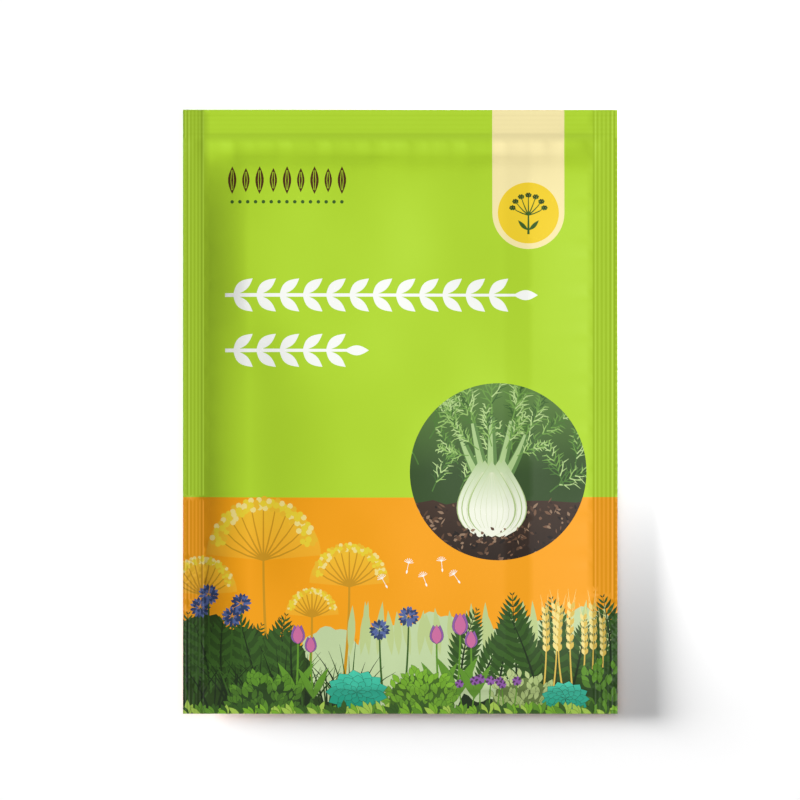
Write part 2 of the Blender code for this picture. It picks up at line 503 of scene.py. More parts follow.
def add_allium(art, base, height, radius, lean, petals, stem, colours, draw):
    """A round flower head of small petals on a bare stem."""
    path = arc(base, height, math.pi / 2 + lean, -lean, 5)
    art.add(stroke(path, 0.5, 0.35), stem)
    for ring_share, count in ((1.0, petals), (0.72, petals - 4), (0.42, petals - 9)):
        for k in range(max(count, 4)):
            turn = 2 * math.pi * k / max(count, 4) + draw.uniform(-0.1, 0.1)
            foot = (path[-1][0] + 0.2 * math.cos(turn), path[-1][1] + 0.2 * math.sin(turn))
            art.add(leaf(foot, radius * ring_share, 0.34 * radius, turn, 0, 0.72, 4), draw.choice(colours))


def add_tulip(art, base, height, lean, petal, petal_light, green, dark):
    """A cup-shaped flower with its stem and two blades."""
    path = arc(base, height, math.pi / 2 + lean, -lean, 5)
    art.add(stroke(path, 0.5, 0.4), green)
    for side in (1, -1):
        blade = leaf(base, height * 0.72, height * 0.15, math.pi / 2 + side * 0.32, side * 0.14, 0.45, 6)
        add_edged(art, blade, green, dark, 0.07)
    cup = (path[-1][0], path[-1][1] - 0.3)
    size = height * 0.34
    for turn, bend, colour in ((0.3, -0.12, petal), (-0.3, 0.12, petal), (0, 0, petal_light)):
        add_edged(art, leaf(cup, size, size * 0.52, math.pi / 2 + turn, bend, 0.42, 6), colour, dark, 0.06)


def add_barley(art, base, height, lean, gold, light):
    """An ear of barley: grains in two rows with long bristles."""
    path = arc(base, height, math.pi / 2 + lean, -lean * 1.6, 10)
    art.add(stroke(path, 0.4, 0.2), gold)
    for k in range(5, 11):
        way = math.pi / 2 + lean - lean * 1.6 * k / 10
        for side in (1, -1):
            bristle = arc(path[k], height * 0.26, way + side * 0.28, -side * 0.16, 2)
            art.add(stroke(bristle, 0.16, 0.04), light)
        for side in (1, -1):
            grain = leaf(path[k], height * 0.105, height * 0.05, way + side * 0.42, 0, 0.5, 4)
            art.add(grain, light if side > 0 else gold)


def add_rosette(art, centre, radius, colours, edge, draw):
    """A low round plant: rings of broad leaves, the small ones on top."""
    for share, count in ((1.0, 13), (0.76, 11), (0.52, 9), (0.3, 6)):
        shift = draw.uniform(0, 1)
        for k in range(count):
            turn = 2 * math.pi * (k + shift) / count
            size = radius * share
            outline = leaf(centre, size, size * 0.5, turn, 0, 0.66, 6)
            outline = [(x, centre[1] + (y - centre[1]) * 0.72) for x, y in outline]
            colour = mixed(colours[0], colours[1], 0.5 + 0.5 * math.sin(turn) * share)
            add_edged(art, outline, colour, edge, 0.07)


def add_bush(art, centre, across, up, leaves, size, colours, edge, draw):
    """A mound of small leaves, lighter towards its top."""
    art.add(lobed(centre, across * 0.9, up * 0.9, 11, 0.08), mixed(edge, colours[0], 0.45))
    spots = []
    for _ in range(leaves):
        turn, away = draw.uniform(0, 2 * math.pi), math.sqrt(draw.uniform(0, 1))
        spots.append((centre[0] + across * away * math.cos(turn), centre[1] + up * away * math.sin(turn)))
    for x, y in sorted(spots, key=lambda spot: -spot[1]):
        lit = min(max((y - centre[1]) / up * 0.5 + 0.5 + draw.uniform(-0.25, 0.25), 0), 1)
        way = math.pi / 2 + (centre[0] - x) / across * 0.9 + draw.uniform(-0.7, 0.7)
        long = size * draw.uniform(0.8, 1.2)
        add_edged(art, leaf((x, y), long, long * 0.5, way, 0, 0.5, 4), mixed(*colours, lit), edge, 0.06)


def add_clover(art, base, height, lean, head, light, green):
    """A round clover head on a short stem with three leaves under it."""
    path = arc(base, height, math.pi / 2 + lean, -lean, 4)
    art.add(stroke(path, 0.35, 0.25), green)
    for k in range(9):
        turn = 2 * math.pi * k / 9
        art.add(leaf(path[-1], height * 0.17, height * 0.1, turn, 0, 0.6, 4), head if k % 2 else light)
    art.add(ring(path[-1], height * 0.06, 8), light)


def add_umbel(art, base, height, reach, lean, rays, stalk, stalk_ink, dot_inks, draw, glow=None):
    """A fennel's flower head: rays like an umbrella's that end in clusters, over a glow if it has one."""
    path = arc(base, height, math.pi / 2 + lean, -lean, 6)
    top = path[-1]
    if glow:
        fan = []
        for k in range(29):
            turn = math.pi * (0.01 + 0.98 * k / 28)
            up = reach * 0.98 * math.sin(turn)
            fan.append((top[0] + reach * 1.02 * math.cos(turn), top[1] + up + reach * 0.06))
        art.add(fan + [top], *glow, top, (top[0], top[1] + reach))
    art.add(stroke(path, stalk * 1.7, stalk), stalk_ink)
    for k in range(rays):
        turn = math.pi * (0.06 + 0.88 * k / (rays - 1))
        length = reach * (0.86 + 0.14 * math.sin(turn))
        ray = arc(top, length, turn, (math.pi / 2 - turn) * 0.35, 3)
        art.add(stroke(ray, stalk, stalk * 0.5), stalk_ink)
        dots = 7
        for j in range(dots):
            around = 2 * math.pi * j / dots + k
            spot = (
                ray[-1][0] + reach * 0.115 * math.cos(around),
                ray[-1][1] + reach * 0.085 * math.sin(around),
            )
            art.add(ring(spot, reach * 0.052, 8), draw.choice(dot_inks))
        art.add(ring(ray[-1], reach * 0.06, 8), dot_inks[0])


# The areas of the print

PLANTS = {
    "night": srgb(28, 48, 20),
    "dark": srgb(44, 70, 24),
    "deep": srgb(58, 96, 34),
    "mid": srgb(98, 150, 44),
    "fresh": srgb(128, 184, 48),
    "light": srgb(172, 208, 84),
    "sage": srgb(146, 172, 92),
    "sage_light": srgb(190, 208, 140),
    "mint": srgb(196, 216, 164),
    "teal": srgb(0, 150, 120),
    "teal_light": srgb(70, 200, 168),
    "navy": srgb(48, 66, 108),
    "blue": srgb(86, 104, 160),
    "purple": srgb(84, 60, 92),
    "violet": srgb(146, 92, 168),
    "pink": srgb(206, 110, 160),
    "straw": srgb(222, 190, 84),
    "straw_light": srgb(246, 226, 140),
    "gold": srgb(240, 190, 44),
    "sun": srgb(238, 212, 52),
    "orange_deep": srgb(248, 176, 36),
    "glow": srgb(246, 196, 46),
    "honey": srgb(206, 150, 26),
    "brown": srgb(78, 44, 14),
}


def add_fields(art, inks):
    """The two fields of the front, lime over orange."""
    art.add([(LEFT, BOTTOM), (RIGHT, BOTTOM), (RIGHT, TOP), (LEFT, TOP)], tuple(inks.lime))
    art.add([(LEFT, BOTTOM), (RIGHT, BOTTOM), (RIGHT, HORIZON), (LEFT, HORIZON)], tuple(inks.orange))


def add_sprig(art, start, length, height, ink):
    """A bold straight sprig: a stem with leaves in pairs, as an ornament."""
    end = start[0] + length
    pitch = height * 0.62
    art.add(stroke([start, (end - pitch * 0.6, start[1])], height * 0.1, height * 0.07), ink)
    pairs = int((length - pitch) / pitch)
    for k in range(pairs):
        foot = (start[0] + (k + 0.35) * pitch, start[1])
        for side in (1, -1):
            art.add(leaf(foot, height * 0.68, height * 0.27, side * 0.82, -side * 0.12, 0.5, 8), ink)
    art.add(leaf((end - pitch * 1.05, start[1]), pitch * 1.05, height * 0.27, 0, 0, 0.5, 8), ink)


def add_ornaments(art, inks):
    """The ornaments of the lime field: two white sprigs, and above them a row of seeds over a row of dots."""
    white, brown = tuple(inks.white), PLANTS["brown"]
    add_sprig(art, (-40.2, 26.8), 71.8, 8.6, white)
    add_sprig(art, (-40.2, 14.1), 33.0, 8.6, white)
    for k in range(9):
        foot = (-38.6 + k * 3.15, 50.4 if k % 2 else 50.0)
        tall = 5.6 if k % 2 else 6.4
        add_edged(art, leaf(foot, tall, tall * 0.3, math.pi / 2, 0, 0.5, 7), brown, brown, 0.02)
        for shift in (-0.32, 0.32):
            near, far = foot[0] + shift * 0.4, foot[0] + shift
            rib = [(near, foot[1] + 0.9), (far, foot[1] + tall / 2), (near, foot[1] + tall - 0.9)]
            art.add(stroke(rib, 0.14, 0.14), tuple(inks.lime))
    for k in range(15):
        spot = (-38.6 + k * 1.8, 48.2)
        art.add(ring(spot, 0.42, 10), PLANTS["deep"])


def add_tab(art, inks, draw):
    """The cream tab that hangs from the top edge, with a yellow disc at its round end."""
    centre, half_width, disc = (29.45, 45.7), 8.3, 7.03
    steps = 24
    outline = [(centre[0] - half_width, TOP)]
    for k in range(steps + 1):
        turn = math.pi * (1 + k / steps)
        outline.append((centre[0] + half_width * math.cos(turn), centre[1] + half_width * math.sin(turn)))
    outline.append((centre[0] + half_width, TOP))
    art.add(outline, tuple(inks.cream))
    art.add(ring(centre, disc, 56), tuple(inks.yellow))
    foot = (centre[0], centre[1] - 4.9)
    add_umbel(art, foot, 4.4, 4.6, 0.0, 7, 0.32, PLANTS["deep"], [PLANTS["dark"], PLANTS["deep"]], draw)
    for side in (1, -1):
        turn = math.pi / 2 - side * 0.95
        art.add(leaf((foot[0], foot[1] + 0.9), 3.3, 0.95, turn, side * 0.15, 0.5, 6), PLANTS["deep"])


def add_bulb(art, base, width, height):
    """A fennel bulb: pale sheaths round each other, ribbed up to the green stalks that they turn into."""
    pale, shade, green = srgb(243, 246, 228), srgb(190, 205, 150), srgb(150, 186, 104)
    foot, top = base[1], base[1] + height
    for side, share in ((-1, 1.0), (1, 1.0), (-1, 0.62), (1, 0.62), (0, 0.5)):
        middle = base[0] + side * width * 0.17 * share
        tall, turn = height * (1.14 + 0.05 * share), math.pi / 2 + side * 0.07
        body = leaf((middle, foot - height * 0.04), tall, width * 0.68, turn, -side * 0.06, 0.36, 14)
        art.add(body, mixed(shade, green, 0.4))
        inner = [(middle + (x - middle) * 0.93 + side * 0.1, y) for x, y in body]
        low, high = (middle, foot + height * 0.35), (middle, top + height * 0.1)
        art.add(inner, pale, mixed(pale, green, 0.75), low, high)
        for k in range(-3, 4):
            path = []
            for j in range(7):
                along = 0.1 + 0.85 * j / 6
                fat = math.sin(math.pi * along ** 0.68) * width * 0.29
                path.append((middle + side * 0.1 + k / 3.6 * fat, foot + height * along))
            art.add(stroke(path, 0.1, 0.16), mixed(pale, shade, 0.45 + 0.1 * abs(k)))


def add_feathers(art, base, length, turn, curl, colours, draw):
    """A fennel's feathery leaf: a rib with fine branches, and thread-like leaflets along them."""
    nodes = 8
    path = arc(base, length, turn, curl, nodes)
    art.add(stroke(path, length * 0.03, 0.1), colours[0])
    for k in range(2, nodes + 1):
        way = turn + curl * k / nodes
        reach = length * 0.36 * (1.1 - 0.75 * k / nodes)
        for side in (1, -1):
            tint = draw.choice(colours)
            branch_way = way + side * draw.uniform(0.55, 0.85)
            branch = arc(path[k], reach, branch_way, -side * 0.35, 3)
            art.add(stroke(branch, 0.32, 0.12), tint)
            for j in range(1, 4):
                twig = side if j % 2 else -side
                thread = arc(branch[j], reach * 0.45, branch_way + twig * 0.55, 0, 1)
                art.add(stroke(thread, 0.28, 0.08), tint)


def add_chips(art, count, middle, wide, low, high, sizes, inks, draw):
    """Crumbs of soil, strewn over a strip: half its width and its low and high ends lie round its middle."""
    for _ in range(count):
        spot = (middle[0] + draw.uniform(-wide, wide), middle[1] + draw.uniform(low, high))
        length, width = draw.uniform(*sizes[0]), draw.uniform(*sizes[1])
        chip = leaf(spot, length, width, draw.uniform(0, 2 * math.pi), 0, 0.4, 3)
        art.add(chip, draw.choice(inks))


def add_picture(art, draw):
    """The round picture: a fennel bulb growing in dark soil, with feathery leaves round its stalks."""
    centre, radius = (22.52, -13.77), 20.34
    backdrop = (srgb(50, 78, 34), srgb(96, 134, 64))
    art.window = art.add(ring(centre, radius, 96), *backdrop, centre, (centre[0], 6))
    greens = [
        srgb(78, 122, 50),
        srgb(112, 158, 70),
        srgb(152, 192, 104),
        srgb(60, 98, 42),
        srgb(182, 212, 138),
    ]
    for k in range(18):
        across, up = (k % 6 - 2.5) * 6.6, (k // 6) * 6.0 - 4.0
        spot = (centre[0] + across + draw.uniform(-2, 2), centre[1] + up + draw.uniform(-1.5, 1.5))
        length, turn, curl = draw.uniform(8, 12), draw.uniform(0.7, 2.4), draw.uniform(-0.5, 0.5)
        add_feathers(art, spot, length, turn, curl, greens, draw)
    soil = [(centre[0] - 21, centre[1] - 21), (centre[0] + 21, centre[1] - 21)]
    for k in range(15):
        soil.append((centre[0] + 21 - 3 * k, centre[1] - 7.2 + draw.uniform(-0.8, 0.8)))
    art.add(soil, srgb(40, 27, 19), srgb(66, 47, 34), (centre[0], centre[1] - 20), (centre[0], centre[1] - 6))
    browns = [srgb(92, 66, 48), srgb(120, 88, 66), srgb(54, 37, 27), srgb(30, 21, 16), srgb(150, 122, 98)]
    add_chips(art, 300, centre, 20, -20, -7, ((0.5, 2.0), (0.25, 0.8)), browns, draw)
    for lean, size in ((0.5, 17), (-0.55, 17), (0.26, 20), (-0.28, 21), (0.0, 22)):
        foot = (centre[0] - 1.5 - lean * 6, centre[1] - 1.0)
        path = arc(foot, size * 0.62, math.pi / 2 + lean, -lean * 0.35, 6)
        art.add(stroke(path, 2.8, 1.3), srgb(96, 136, 70))
        art.add(stroke([(x - 0.3, y) for x, y in path], 1.6, 0.6), srgb(172, 202, 136))
        add_feathers(art, path[-1], size * 0.55, math.pi / 2 + lean, -lean * 0.5, greens[1:], draw)
        add_feathers(art, path[3], size * 0.4, math.pi / 2 + lean * 2.4 + 0.3, -0.3, greens[1:], draw)
    add_bulb(art, (centre[0] - 1.5, centre[1] - 14.4), 16.5, 15.0)
    bulb_foot = (centre[0] - 1.5, centre[1] - 14.0)
    add_chips(art, 60, bulb_foot, 9, -2.4, 1.2, ((0.6, 1.8), (0.3, 0.8)), browns, draw)
    art.window = -1


def add_border(art, draw):
    """The border of garden plants along the foot of the front."""
    inks = PLANTS
    ground = BOTTOM - 0.5
    art.add([(LEFT, ground), (RIGHT, ground), (RIGHT, -62.5), (LEFT, -62.5)], inks["night"])
    for x, across, up in ((-3, 7, 9), (8, 8, 11), (19, 7, 8), (30, 9, 10), (43, 8, 12), (-16, 7, 8)):
        art.add(lobed((x, -58), across, up, 9, 0.12), inks["mint"])
    golds = [inks["sun"], inks["gold"], inks["straw_light"]]
    glow = (inks["orange_deep"], inks["glow"])
    for x, height, reach, lean in (
        (-30, 28, 13, 0.1),
        (-13, 22, 9, -0.12),
        (-44, 20, 8, 0.16),
        (-21, 15, 6, -0.1),
    ):
        add_umbel(art, (x, -62), height, reach, lean, 11, 0.45, inks["honey"], golds, draw, glow)
    for x, across, up in ((-45, 8, 13), (-36, 8, 10), (-28, 7, 8), (48, 6, 11), (36, 8, 8)):
        art.add(lobed((x, -60), across, up, 13, 0.1), inks["dark"])
    for k in range(10):
        turn, length = math.pi / 2 + draw.uniform(-0.35, 0.35), draw.uniform(14, 19)
        curl = draw.uniform(-0.4, 0.4)
        add_frond(art, (-49 + k * 2.7, -64), length, turn, curl, 13, inks["deep"], inks["night"])
    for k in range(26):
        spot = (-12 + k * 2.4 + draw.uniform(-0.6, 0.6), -56)
        length, turn = draw.uniform(9, 13), math.pi / 2 + draw.uniform(-0.2, 0.2)
        art.add(leaf(spot, length, 1.8, turn, 0, 0.5, 6), inks["sage_light"])
    for k in range(9):
        length = draw.uniform(15, 21)
        turn, curl = math.pi / 2 + draw.uniform(-0.5, 0.5), draw.uniform(-0.5, 0.5)
        add_frond(art, (14 + k * 4.3, -63), length, turn, curl, 15, inks["deep"], inks["night"])
    for k in range(7):
        height, lean = draw.uniform(15, 19), draw.uniform(-0.3, 0.2)
        add_barley(art, (33 + k * 2.2, -64), height, lean, inks["straw"], inks["straw_light"])
    for x, height, lean in (
        (-47, 20, -0.1),
        (-43.5, 23, 0.05),
        (-39.5, 18, -0.1),
        (-35.5, 21, 0.1),
        (-4, 15, 0.1),
        (1, 18, -0.1),
    ):
        add_allium(art, (x, -65), height, 2.3, lean, 15, inks["deep"], [inks["navy"], inks["blue"]], draw)
    blades = [inks["dark"], inks["deep"], inks["night"]]
    for k in range(8):
        add_grass(art, (-48 + k * 5.2, ground), draw.uniform(13, 18), 1.5, 11, blades, draw)
    for x, height, lean in ((9, 13, 0.1), (13, 15, -0.1), (17, 12, 0.12), (-24, 13, -0.08), (-20, 11, 0.1)):
        add_tulip(art, (x, -66), height, lean, inks["violet"], inks["pink"], inks["mid"], inks["dark"])
    for x, across, up, pair, leaves in (
        (-31, 8, 5.5, ("deep", "mid"), 90),
        (5, 8, 6.5, ("mid", "fresh"), 110),
        (46, 7, 8, ("deep", "mid"), 100),
        (28, 7, 5.5, ("sage", "sage_light"), 90),
    ):
        colours = (inks[pair[0]], inks[pair[1]])
        add_bush(art, (x, -66.5), across, up, leaves, 2.4, colours, inks["night"], draw)
    add_rosette(art, (-10, -64.5), 7.2, (inks["teal"], inks["teal_light"]), inks["night"], draw)
    add_rosette(art, (38, -66), 5.6, (inks["teal"], inks["teal_light"]), inks["night"], draw)
    for k in range(7):
        height, lean = draw.uniform(6, 8.5), draw.uniform(-0.3, 0.3)
        foot = (14.5 + k * 1.9, -69)
        add_clover(art, foot, height, lean, inks["purple"], inks["violet"], inks["mid"])
    leaf_inks = [inks["mid"], inks["fresh"], inks["light"], inks["deep"]]
    for k in range(34):
        x = LEFT + 1 + k * 3.0
        for turn in (-0.9, -0.45, 0, 0.45, 0.9):
            foot, length = (x + turn * 0.6, ground - 0.4), draw.uniform(2.8, 4.4)
            outline = leaf(foot, length, 1.25, math.pi / 2 + turn, 0, 0.55, 5)
            add_edged(art, outline, draw.choice(leaf_inks), inks["dark"], 0.08)


def add_drift(art, inks):
    """A few small white seeds that drift over the orange band, each under a tuft of hairs."""
    white = tuple(inks.white)
    for x, y, lean in (
        (-3.4, -39.6, 0.5),
        (1.6, -36.2, -0.2),
        (5.8, -39.2, 0.35),
        (9.6, -35.8, 0.1),
        (13.2, -38.6, 0.6),
    ):
        up = math.pi / 2 + lean
        path = arc((x, y), 1.5, up, 0, 1)
        art.add(leaf((x, y), -1.0, 0.42, up, 0, 0.5, 4)[::-1], white)
        art.add(stroke(path, 0.12, 0.12), white)
        for k in range(-3, 4):
            hair = arc(path[-1], 1.15, up + k * 0.42, 0, 1)
            art.add(stroke(hair, 0.1, 0.14), white)


def front_art():
    """All the print of the front, back to front."""
    inks = bpy.context.scene.packet_inks
    art = Artwork()
    draw = random.Random(23)
    add_fields(art, inks)
    add_ornaments(art, inks)
    add_tab(art, inks, draw)
    add_picture(art, draw)
    add_border(art, draw)
    add_drift(art, inks)
    return art


def back_art():
    """The print of the back: the same two fields, and a plain pale panel with a thin rule round it."""
    inks = bpy.context.scene.packet_inks
    art = Artwork()
    add_fields(art, inks)
    for grow, ink in ((0, PLANTS["deep"]), (-0.6, tuple(inks.cream))):
        art.add(rounded(36, -50, 48, 5, grow), ink)
    return art


# Meshes of the film


def film_lines(low, inner_low, inner_high, high, seal_steps):
    """The mesh's lines in one direction, close together over the ribs and wider over the pillow."""
    steps = round((inner_high - inner_low) / PILLOW_STEP)
    return np.concatenate(
        [
            np.linspace(low, inner_low, seal_steps + 1),
            np.linspace(inner_low, inner_high, steps + 1)[1:-1],
            np.linspace(inner_high, high, seal_steps + 1),
        ]
    )


def mesh_grid(seal_steps, facing):
    """The points where the film's mesh lines cross, laid out as seen from outside."""
    columns = film_lines(LEFT, INNER_LEFT, INNER_RIGHT, RIGHT, seal_steps) * facing
    rows = film_lines(BOTTOM, INNER_BOTTOM, INNER_TOP, TOP, seal_steps)
    return [(float(x), float(y)) for x in columns for y in rows]


def cut_flat(points, edges, outlines, keep):
    """Cuts a flat net of triangles: its corners, its triangles, and the outlines over each of them."""
    net = delaunay_2d_cdt([Vector(point) for point in points], edges, outlines, keep, MERGE_MM, True)
    return [tuple(corner) for corner in net[0]], net[2], net[5]


def print_regions(art):
    """The whole print cut at every outline: its corners, its triangles, and the outline on top in each."""
    points, loops = [], []
    for outline in art.outlines:
        loops.append(range(len(points), len(points) + len(outline)))
        points += outline
    corners, triangles, overs = cut_flat(points, [], loops, 1)
    tops = []
    for over in overs:
        shows = [k for k in over if art.windows[k] < 0 or art.windows[k] in over]
        tops.append(max(shows) if 0 in over else -1)
    return corners, triangles, tops


def visible_cuts(corners, triangles, tops):
    """Where one ink meets another, as pairs of points no further apart than the film's mesh lines."""
    sides = {}
    for triangle, top in zip(triangles, tops, strict=True):
        for first, second in zip(triangle, triangle[1:] + triangle[:1], strict=True):
            sides.setdefault((min(first, second), max(first, second)), []).append(top)
    points, edges, places = [], [], {}

    def numbered(point):
        """A point's number, which is the same for points that lie together."""
        key = (round(point[0] / MERGE_MM), round(point[1] / MERGE_MM))
        if key not in places:
            places[key] = len(points)
            points.append(point)
        return places[key]

    for (first, second), inks in sides.items():
        if len(set(inks + [-1] * (2 - len(inks)))) == 1:
            continue
        start, end = corners[first], corners[second]
        steps = math.ceil(math.dist(start, end) / mesh_step(start, end))
        last = numbered(start)
        for k in range(1, steps + 1):
            share = k / steps
            point = (start[0] + (end[0] - start[0]) * share, start[1] + (end[1] - start[1]) * share)
            here = numbered(point)
            if here != last:
                edges.append((last, here))
            last = here
    return points, edges


def mesh_step(start, end):
    """How long an edge may be: short where it crosses a seal's ribs, and longer on the pillow."""
    middle_x, middle_y = (start[0] + end[0]) / 2, (start[1] + end[1]) / 2
    on_pillow = abs(middle_x) < INNER_RIGHT and INNER_BOTTOM < middle_y < INNER_TOP
    return PILLOW_STEP if on_pillow else SEAL_LEFT / RIB_STEPS


def ink_colours(art, tops, corners):
    """The linear colour of each corner, from the ink of the outline on top there."""
    inks = np.array(art.inks)[tops]
    start, run = inks[:, 6:8], inks[:, 8:10]
    share = np.clip(np.sum((corners - start) * run, axis=1) / np.sum(run**2, axis=1), 0, 1)[:, None]
    return inks[:, 0:3] * (1 - share) + inks[:, 3:6] * share


def painted_seal_shade(x, y):
    """Painted shade on the seals: how bright an ink is painted, darker per side as the light falls, darkest
    along a seal's inner edge.
    """
    tone = np.ones_like(x)
    for side, outward in (
        ("left", INNER_LEFT - x),
        ("right", x - INNER_RIGHT),
        ("top", y - INNER_TOP),
        ("bottom", INNER_BOTTOM - y),
    ):
        # painted shade over the seal, darker on the sides away from the light
        pressed = np.clip(outward / PAINTED_SHADE_CHANGE + 0.5, 0, 1) * (1 - PAINTED_SEAL_BRIGHTNESS[side])
        # a painted line of shade along the seal's inner crease
        crease_shade = PAINTED_CREASE_SHADES[side] * np.exp(-(((outward - CREASE_SHADE_PLACE) / CREASE_SHADE_REACH) ** 2))
        tone = np.minimum(tone, 1 - pressed - crease_shade)
    return tone


def relief_normals(relief, x, y, facing):
    """The way out of the film at each point, from the slope of its relief."""
    slope_x = (relief(x + SLOPE_STEP, y) - relief(x - SLOPE_STEP, y)) / (2 * SLOPE_STEP)
    slope_y = (relief(x, y + SLOPE_STEP) - relief(x, y - SLOPE_STEP)) / (2 * SLOPE_STEP)
    normals = np.stack([-slope_x, -slope_y, np.ones_like(x)], axis=1) * facing
    return normals / np.linalg.norm(normals, axis=1)[:, None]


def outer_net(art, facing):
    """The printed face laid out flat: its corners, its triangles, and each triangle corner's outline."""
    region_corners, regions, region_tops = print_regions(art)
    cut_points, cuts = visible_cuts(region_corners, regions, region_tops)
    flat, outer, _ = cut_flat(cut_points + mesh_grid(RIB_STEPS, facing), cuts, [], 0)
    flat = np.array(flat)
    finder = BVHTree.FromPolygons([(x, y, 0) for x, y in region_corners], regions)
    middles = flat[np.array(outer)].mean(axis=1)
    found = [finder.find_nearest((x, y, 0))[2] for x, y in middles]
    return flat, outer, np.repeat([region_tops[k] for k in found], 3)


def inner_net(flat, facing):
    """The plain inner face laid out flat inside the printed face's own edge: its corners and triangles."""
    across, up = np.abs(flat[:, 0]), np.abs(flat[:, 1])
    edge = flat[(np.abs(across - RIGHT) < MERGE_MM) | (np.abs(up - TOP) < MERGE_MM)]
    edge = edge[np.argsort(np.arctan2(edge[:, 1], edge[:, 0]))]
    right, top = RIGHT - EDGE_MARGIN, TOP - EDGE_MARGIN
    inside = [(x, y) for x, y in mesh_grid(INNER_STEPS, facing) if abs(x) < right and abs(y) < top]
    inner_flat, inner, _ = cut_flat(edge.tolist() + inside, [], [range(len(edge))], 1)
    return np.array(inner_flat), inner


def lay_inks(mesh, art, tops, places, facing):
    """Prints the face's corners with their inks, darkened by painted shade over the seals, and gives the rest
    of the web the plain film's colour.
    """
    x, y = places[:len(tops), 0], places[:len(tops), 1]
    colours = np.ones((len(places), 4))
    colours[:, 0:3] = PLAIN_FILM
    inks = ink_colours(art, tops, np.stack([x * facing, y], axis=1))
    # The inks are darkened by painted shade over the seals and along their inner creases.
    colours[:len(tops), 0:3] = inks * painted_seal_shade(x, y)[:, None]
    ink = mesh.color_attributes.new("ink", "FLOAT_COLOR", "CORNER")
    ink.data.foreach_set("color", colours.astype(np.float32).ravel())


def unwrap(mesh, printed, places, facing):
    """Lays the print out in the unwrapped square, with the rest of the web in a strip beside it."""
    across, up = (places[:, 0] * facing - LEFT) / WIDTH, (places[:, 1] - BOTTOM) / HEIGHT
    across[:printed] = UV_PRINT[0] + UV_PRINT[1] * across[:printed]
    across[printed:] = UV_PLAIN[0] + UV_PLAIN[1] * across[printed:]
    unwrapped = np.stack([across, UV_UP[0] + UV_UP[1] * up], axis=1)
    layer = mesh.uv_layers.new(name="OFBake")
    layer.data.foreach_set("uv", unwrapped.astype(np.float32).ravel())


def film_mesh(name, relief, art, facing):
    """One web: a printed face cut along the outlines, a plain inner face, and the cut edge between them.

    The print is laid out as seen from outside. Facing is 1 for the front, and -1 for the back, which is
    turned over.
    """
    flat, outer, tops = outer_net(art, facing)
    inner_flat, inner = inner_net(flat, facing)
    both = np.concatenate([flat, inner_flat])
    x, y = both[:, 0] * facing, both[:, 1]
    z = relief(x, y)
    z[len(flat):] -= facing * FILM
    corners = np.stack([x, y, z], axis=1) * MM
    inner = [[corner + len(flat) for corner in reversed(face)] for face in inner]

    mesh = bpy.data.meshes.new(name)
    mesh.from_pydata(corners.tolist(), [], [list(face) for face in outer] + inner)
    film = bmesh.new()
    film.from_mesh(mesh)
    loose = [vertex for vertex in film.verts if not vertex.link_faces]
    bmesh.ops.delete(film, geom=loose, context="VERTS")
    bmesh.ops.bridge_loops(film, edges=[side for side in film.edges if side.is_boundary])
    film.to_mesh(mesh)
    film.free()
    mesh.shade_smooth()

    spots = np.empty(len(mesh.loops), dtype=np.int32)
    mesh.loops.foreach_get("vertex_index", spots)
    places = np.empty(len(mesh.vertices) * 3, dtype=np.float32)
    mesh.vertices.foreach_get("co", places)
    places = places.reshape(-1, 3)[spots].astype(np.float64) / MM
    printed = len(tops)
    lay_inks(mesh, art, tops, places, facing)
    unwrap(mesh, printed, places, facing)
    normals = np.zeros((len(spots), 3))
    normals[:printed] = relief_normals(relief, places[:printed, 0], places[:printed, 1], facing)
    mesh.normals_split_custom_set(normals.tolist())
    return mesh


# Materials


class Value:
    """A node's output as a number in Python expressions: each operation adds its Math node."""

    def __init__(self, shader, socket):
        self.shader = shader
        self.socket = socket

    def calculate(self, operation, first, second):
        """The result of a Math node on two numbers or outputs."""
        settings = {"operation": operation}
        return Value(self.shader, self.shader.node("ShaderNodeMath", settings, {0: first, 1: second}))

    def __add__(self, other):
        return self.calculate("ADD", self, other)

    def __radd__(self, other):
        return self.calculate("ADD", other, self)

    def __mul__(self, other):
        return self.calculate("MULTIPLY", self, other)

    def __rmul__(self, other):
        return self.calculate("MULTIPLY", other, self)


class Shader:
    """A material under construction, with one Principled shader."""

    def __init__(self, name):
        self.material = bpy.data.materials.new(name)
        self.material.use_nodes = True
        self.tree = self.material.node_tree
        self.principled = self.tree.nodes["Principled BSDF"]

    def node(self, kind, settings=None, inputs=None, output=0):
        """Adds a node, sets it up, and fills its sockets with values or links. Gives one of its outputs."""
        added = self.tree.nodes.new(kind)
        for key, value in (settings or {}).items():
            setattr(added, key, value)
        for key, value in (inputs or {}).items():
            self.fill(added.inputs[key], value)
        return added.outputs[output]

    def fill(self, socket, value):
        """Sets a socket to a value, or links it to an output."""
        if isinstance(value, Value):
            value = value.socket
        if isinstance(value, bpy.types.NodeSocket):
            self.tree.links.new(value, socket)
        else:
            socket.default_value = value

    def set(self, **inputs):
        """Fills the Principled shader's sockets, named with underscores for spaces."""
        for key, value in inputs.items():
            self.fill(self.principled.inputs[key.replace("_", " ")], value)

    def noise(self, scale, detail=2.0, stretch=(1, 1, 1)):
        """Noise over the object's own coordinates, from 0 to 1."""
        place = self.node("ShaderNodeTexCoord", output="Object")
        place = self.node("ShaderNodeMapping", {}, {"Vector": place, "Scale": stretch})
        settings = {"Vector": place, "Scale": scale, "Detail": detail}
        return Value(self, self.node("ShaderNodeTexNoise", {}, settings))

    def multiplied(self, colour, share):
        """A colour made darker or lighter by a share."""
        grey = self.node("ShaderNodeCombineColor", {}, {0: share, 1: share, 2: share})
        settings = {"data_type": "RGBA", "blend_type": "MULTIPLY"}
        return self.node("ShaderNodeMix", settings, {"Factor": 1.0, 6: colour, 7: grey}, 2)

    def bump(self, height, distance, strength):
        """A Bump node over this height."""
        settings = {"Height": height, "Distance": distance, "Strength": strength}
        return self.node("ShaderNodeBump", {}, settings)


